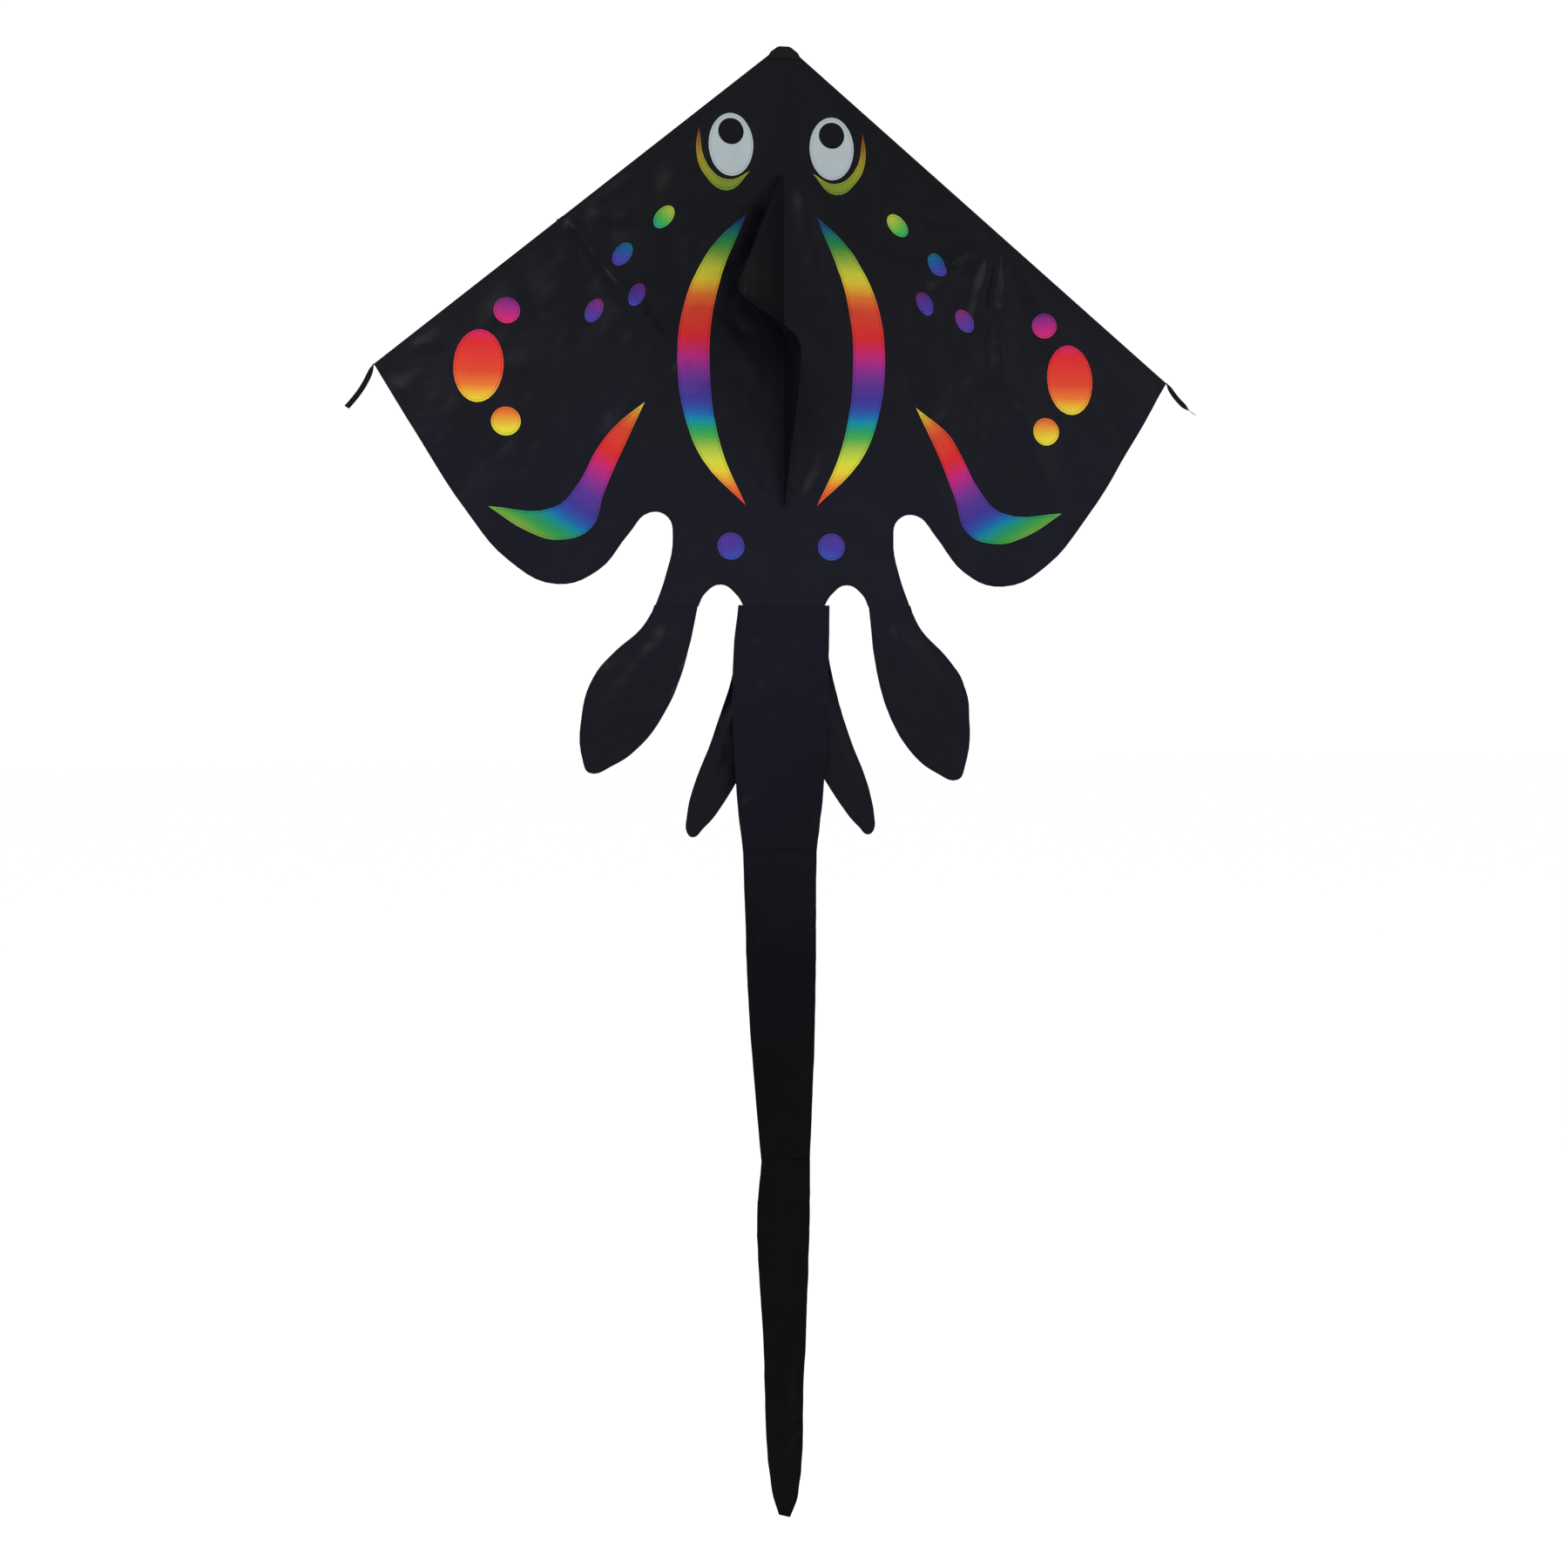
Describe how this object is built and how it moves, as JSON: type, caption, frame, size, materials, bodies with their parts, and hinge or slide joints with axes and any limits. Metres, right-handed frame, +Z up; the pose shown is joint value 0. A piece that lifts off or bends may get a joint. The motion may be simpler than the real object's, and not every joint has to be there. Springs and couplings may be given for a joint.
{
  "type": "delta kite",
  "caption": "Manta-ray delta kite: black ripstop sail on a sprung cross-spar frame, with rainbow patches, soft lobes, a keel and a long panelled tail.",
  "frame": {"origin": "top of the nose, where the kite hangs, on its centre line", "axes": "+Z up along the spine, +X to the right of someone looking at the face, +Y from the face towards the back, where the spars are"},
  "size_m": [1.6403, 0.189, 2.775],
  "materials": {
    "ripstop_black": "black ripstop nylon",
    "ripstop_white": "grey-white ripstop nylon",
    "rainbow_green": "ripstop dyed in a rainbow gradient, here green to teal",
    "rainbow_blue": "ripstop dyed in a rainbow gradient, here blue to indigo",
    "rainbow_violet": "ripstop dyed in a rainbow gradient, here violet",
    "rainbow_magenta": "ripstop dyed in a rainbow gradient, here magenta",
    "rainbow_red": "ripstop dyed in a rainbow gradient, here red",
    "rainbow_orange": "ripstop dyed in a rainbow gradient, here orange",
    "rainbow_yellow": "ripstop dyed in a rainbow gradient, here yellow",
    "webbing_black": "black woven nylon webbing",
    "ribbon_black": "black woven ribbon",
    "fibreglass": "pultruded fibreglass",
    "moulded_nylon": "moulded nylon",
    "vinyl": "soft vinyl",
    "eyelet_metal": "blackened steel"
  },
  "bodies": {
    "spine": {"spine_rod": "fibreglass", "spine_sleeve": "ripstop_black", "spine_cap_top": "vinyl", "spine_cap_bottom": "vinyl", "nose_cap": "webbing_black", "spine_end_pocket": "webbing_black"},
    "keel": {"keel": "ripstop_black", "tow_eyelet": "eyelet_metal"},
    "spreader": {"spreader_rod": "fibreglass", "spreader_hook_left": "moulded_nylon", "spreader_hook_right": "moulded_nylon"},
    "tail_upper": {"tail_upper": "ripstop_black"},
    "tail_middle": {"tail_middle": "ripstop_black"},
    "tail_lower": {"tail_lower": "ripstop_black"},
    "wing_left": {"eye_white_left": "ripstop_white", "pupil_left": "ripstop_black", "eye_crescent_left": "rainbow_yellow", "spot_green_left": "rainbow_green", "spot_blue_left": "rainbow_blue", "spot_violet_inner_left": "rainbow_violet", "spot_violet_outer_left": "rainbow_violet", "spot_magenta_left": "rainbow_magenta", "spot_red_left": "rainbow_red", "spot_orange_left": "rainbow_orange", "spot_indigo_left": "rainbow_blue", "long_crescent_left": "rainbow_red", "wing_chevron_left": "rainbow_violet", "sail_left": "ripstop_black", "leading_edge_rod_left": "fibreglass", "leading_edge_sleeve_upper_left": "ripstop_black", "leading_edge_sleeve_lower_left": "ripstop_black", "leading_edge_tip_cap_left": "vinyl"},
    "outer_lobe_left": {"outer_lobe_left": "ripstop_black"},
    "inner_lobe_left": {"inner_lobe_left": "ripstop_black"},
    "wing_ribbon_left": {"wing_ribbon_left": "ribbon_black"},
    "wing_right": {"eye_white_right": "ripstop_white", "pupil_right": "ripstop_black", "eye_crescent_right": "rainbow_yellow", "spot_green_right": "rainbow_green", "spot_blue_right": "rainbow_blue", "spot_violet_inner_right": "rainbow_violet", "spot_violet_outer_right": "rainbow_violet", "spot_magenta_right": "rainbow_magenta", "spot_red_right": "rainbow_red", "spot_orange_right": "rainbow_orange", "spot_indigo_right": "rainbow_blue", "long_crescent_right": "rainbow_red", "wing_chevron_right": "rainbow_violet", "sail_right": "ripstop_black", "leading_edge_rod_right": "fibreglass", "leading_edge_sleeve_upper_right": "ripstop_black", "leading_edge_sleeve_lower_right": "ripstop_black", "leading_edge_tip_cap_right": "vinyl"},
    "outer_lobe_right": {"outer_lobe_right": "ripstop_black"},
    "inner_lobe_right": {"inner_lobe_right": "ripstop_black"},
    "wing_ribbon_right": {"wing_ribbon_right": "ribbon_black"}
  },
  "joints": [
    {"name": "wing_left_fold", "type": "hinge", "parent": "spine", "child": "wing_left", "pos_m": [0, 0, -0.5], "axis": [0, 0, 1], "range_deg": [0, 44]},
    {"name": "wing_right_fold", "type": "hinge", "parent": "spine", "child": "wing_right", "pos_m": [0, 0, -0.5], "axis": [0, 0, -1], "range_deg": [0, 44]},
    {"name": "keel_swing", "type": "hinge", "parent": "spine", "child": "keel", "pos_m": [0, 0, -0.55], "axis": [0, 0, 1], "range_deg": [-38, 21]},
    {"name": "tail_upper_swing", "type": "hinge", "parent": "spine", "child": "tail_upper", "pos_m": [0, 0, -1.058], "axis": [1, 0, 0], "range_deg": [-45, 45]},
    {"name": "tail_middle_swing", "type": "hinge", "parent": "tail_upper", "child": "tail_middle", "pos_m": [0, 0, -1.52], "axis": [1, 0, 0], "range_deg": [-45, 45]},
    {"name": "tail_lower_swing", "type": "hinge", "parent": "tail_middle", "child": "tail_lower", "pos_m": [0, 0, -2.105], "axis": [1, 0, 0], "range_deg": [-45, 45]},
    {"name": "outer_lobe_left_swing", "type": "hinge", "parent": "wing_left", "child": "outer_lobe_left", "pos_m": [-0.205, 0, -1.058], "axis": [1, 0, 0], "range_deg": [-60, 60]},
    {"name": "inner_lobe_left_swing", "type": "hinge", "parent": "tail_upper", "child": "inner_lobe_left", "pos_m": [-0.055, 0.0016, -1.059], "axis": [1, 0, 0], "range_deg": [0, 60]},
    {"name": "outer_lobe_right_swing", "type": "hinge", "parent": "wing_right", "child": "outer_lobe_right", "pos_m": [0.205, 0, -1.058], "axis": [1, 0, 0], "range_deg": [-60, 60]},
    {"name": "inner_lobe_right_swing", "type": "hinge", "parent": "tail_upper", "child": "inner_lobe_right", "pos_m": [0.055, 0.0016, -1.059], "axis": [1, 0, 0], "range_deg": [0, 60]},
    {"name": "wing_ribbon_left_swing", "type": "hinge", "parent": "wing_left", "child": "wing_ribbon_left", "pos_m": [-0.763, 0, -0.618], "axis": [0.8566, 0, -0.5161], "range_deg": [-70, 70]},
    {"name": "wing_ribbon_right_swing", "type": "hinge", "parent": "wing_right", "child": "wing_ribbon_right", "pos_m": [0.763, 0, -0.618], "axis": [0.7247, 0, 0.6891], "range_deg": [-70, 70]},
    {"name": "spreader_unhook", "type": "slide", "parent": "spine", "child": "spreader", "axis": [0, 1, 0], "range_m": [0, 0.06]}
  ]
}
